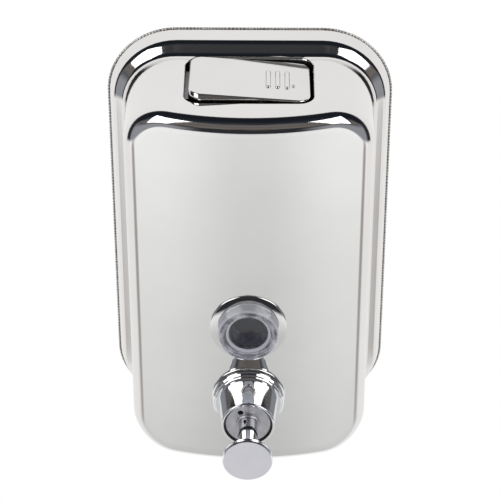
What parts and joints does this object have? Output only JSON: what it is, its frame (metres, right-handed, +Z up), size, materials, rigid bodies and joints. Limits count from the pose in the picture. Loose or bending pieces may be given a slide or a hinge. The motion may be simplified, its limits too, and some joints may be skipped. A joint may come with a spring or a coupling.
{
  "type": "wall mounted soap dispenser",
  "caption": "Polished steel tank on a slide-on wall plate, with a rocking filler lid on top, a round sight glass and a push valve with a mushroom button in front.",
  "frame": {"origin": "middle of the wall plate's back face, on the wall", "axes": "+Z up, +Y into the wall, +X to the right of someone who faces the dispenser"},
  "size_m": [0.1198, 0.1035, 0.193],
  "materials": {
    "shell_steel": "mirror polished stainless steel",
    "lid_steel": "mirror polished stainless steel",
    "back_steel": "mill finish stainless steel",
    "weld_steel": "seam weld, dressed",
    "wall_steel": "mill finish stainless steel",
    "valve_chrome": "bright chrome on zinc",
    "cap_metal": "matt grey plating",
    "button_metal": "satin chrome",
    "clear_plastic": "clear acrylic",
    "black_rubber": "matt",
    "grey_rubber": "matt",
    "white_plastic": "moulded",
    "spring_steel": "drawn wire",
    "soft_silicone": "translucent silicone"
  },
  "bodies": {
    "wall_plate": {"wall_plate": "wall_steel"},
    "tank": {"hanger_bracket": "wall_steel", "back_plate": "back_steel", "rim_weld": "weld_steel", "tank_shell": "shell_steel", "filler_collar": "lid_steel", "lid_pin": "spring_steel", "sight_glass": "clear_plastic", "sight_glass_gasket": "soft_silicone", "sight_glass_washer": "grey_rubber", "sight_glass_nut": "white_plastic", "valve_housing": "valve_chrome", "valve_gasket": "black_rubber", "valve_washer": "grey_rubber", "valve_nut": "white_plastic", "pump_cylinder": "white_plastic", "inlet_fitting": "white_plastic", "spring_plate": "white_plastic", "stem_seal": "black_rubber", "front_cap": "cap_metal", "cap_ring": "black_rubber", "outlet_nozzle": "valve_chrome", "outlet_valve": "soft_silicone", "return_spring": "spring_steel"},
    "lid": {"lid": "lid_steel"},
    "plunger": {"push_button": "button_metal", "plunger_rod": "valve_chrome", "piston": "white_plastic", "piston_seal": "black_rubber"},
    "inlet_ball": {"inlet_ball": "spring_steel"}
  },
  "joints": [
    {"name": "tank_lift", "type": "slide", "parent": "wall_plate", "child": "tank", "axis": [0, 0, 1], "range_m": [0, 0.038]},
    {"name": "lid_rock", "type": "hinge", "parent": "tank", "child": "lid", "pos_m": [0.005, -0.0302, 0.0841], "axis": [0, 1, 0], "range_deg": [0, 65]},
    {"name": "button_press", "type": "slide", "parent": "tank", "child": "plunger", "axis": [0, 1, 0], "range_m": [0, 0.01], "stiffness_N_per_m": 600, "springref_m": -0.015, "deforming": ["return_spring"]},
    {"name": "inlet_ball_lift", "type": "slide", "parent": "tank", "child": "inlet_ball", "axis": [0, -1, 0], "range_m": [0, 0.0006]}
  ]
}
